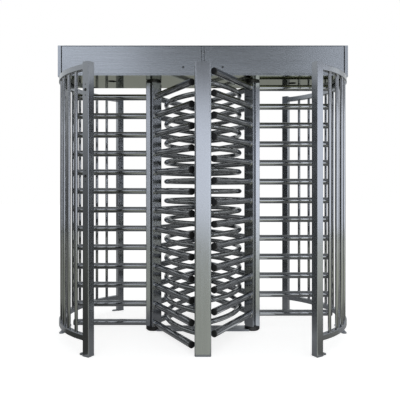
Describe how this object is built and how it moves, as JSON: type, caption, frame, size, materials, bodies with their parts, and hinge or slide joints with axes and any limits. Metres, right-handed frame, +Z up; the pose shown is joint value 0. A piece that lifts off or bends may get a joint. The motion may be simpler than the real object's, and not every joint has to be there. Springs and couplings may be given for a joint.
{
  "type": "full height turnstile",
  "caption": "Two-lane full height security turnstile in brushed steel, with turning barred rotors between round barred cages under a header.",
  "frame": {"origin": "floor level, under the middle of the unit, on the foot plates' underside", "axes": "+X along the header from the left lane to the right, +Y through the lanes from front to rear, +Z up"},
  "size_m": [2.348, 1.3338, 2.3],
  "materials": {
    "brushed_steel": "brushed",
    "header_steel": "satin brushed",
    "polished_steel": "polished",
    "machined_steel": "machined",
    "galvanised_steel": "galvanised",
    "black_metal": "satin black",
    "black_plastic": "matt",
    "lamp_black": "gloss",
    "cast_iron": "cast",
    "device_metal": "satin",
    "enclosure_grey": "matt",
    "duct_plastic": "matt",
    "lock_chrome": "chrome",
    "lock_dark": "blackened"
  },
  "bodies": {
    "frame": {"bearing_plates": "galvanised_steel", "bottom_rings": "brushed_steel", "brakes": "device_metal", "cable_duct": "duct_plastic", "cage_bars_left": "brushed_steel", "cage_bars_right": "brushed_steel", "centre_feet": "brushed_steel", "centre_posts": "brushed_steel", "centre_strip": "header_steel", "centre_tie": "galvanised_steel", "collars": "black_metal", "comb_left": "brushed_steel", "comb_right": "brushed_steel", "control_box": "enclosure_grey", "encoder_bridges": "galvanised_steel", "encoders": "device_metal", "floor_bearings": "black_metal", "floor_sill": "brushed_steel", "head_bearings": "cast_iron", "header_ends": "header_steel", "high_rails": "galvanised_steel", "hinge_brackets": "galvanised_steel", "lamps": "lamp_black", "leg_feet": "brushed_steel", "low_rails": "galvanised_steel", "mid_legs": "brushed_steel", "outlet_post": "brushed_steel", "panel_blocks": "galvanised_steel", "panel_screws": "machined_steel", "post_feet": "brushed_steel", "power_supply": "device_metal", "rear_panel": "header_steel", "side_posts": "brushed_steel", "soffit_centre": "polished_steel", "soffit_ends": "polished_steel", "top_cover": "header_steel", "top_rings": "brushed_steel", "uprights": "galvanised_steel"},
    "left_rotor": {"left_column": "brushed_steel", "left_core": "black_metal", "left_arms": "brushed_steel", "left_arm_caps": "black_plastic", "left_hubs": "black_metal", "left_shaft": "machined_steel", "left_column_screws": "machined_steel", "left_armature": "machined_steel"},
    "left_door": {"left_door": "header_steel", "left_lock_housing": "lock_chrome"},
    "left_lock": {"left_lock_cam": "lock_dark"},
    "right_rotor": {"right_column": "brushed_steel", "right_core": "black_metal", "right_arms": "brushed_steel", "right_arm_caps": "black_plastic", "right_hubs": "black_metal", "right_shaft": "machined_steel", "right_column_screws": "machined_steel", "right_armature": "machined_steel"},
    "right_door": {"right_door": "header_steel", "right_lock_housing": "lock_chrome"},
    "right_lock": {"right_lock_cam": "lock_dark"}
  },
  "joints": [
    {"name": "left_rotor_turn", "type": "hinge", "parent": "frame", "child": "left_rotor", "pos_m": [-0.411, 0, 1], "axis": [0, 0, 1], "continuous": true},
    {"name": "right_rotor_turn", "type": "hinge", "parent": "frame", "child": "right_rotor", "pos_m": [0.411, 0, 1], "axis": [0, 0, 1], "continuous": true},
    {"name": "left_door_hinge", "type": "hinge", "parent": "frame", "child": "left_door", "pos_m": [-0.56, -0.23, 2.279], "axis": [-1, 0, 0], "range_deg": [0, 85]},
    {"name": "right_door_hinge", "type": "hinge", "parent": "frame", "child": "right_door", "pos_m": [0.56, -0.23, 2.279], "axis": [-1, 0, 0], "range_deg": [0, 85]},
    {"name": "left_lock_turn", "type": "hinge", "parent": "left_door", "child": "left_lock", "pos_m": [-0.155, -0.232, 2.13], "axis": [0, 1, 0], "range_deg": [0, 90]},
    {"name": "right_lock_turn", "type": "hinge", "parent": "right_door", "child": "right_lock", "pos_m": [0.155, -0.232, 2.13], "axis": [0, -1, 0], "range_deg": [0, 90]}
  ]
}
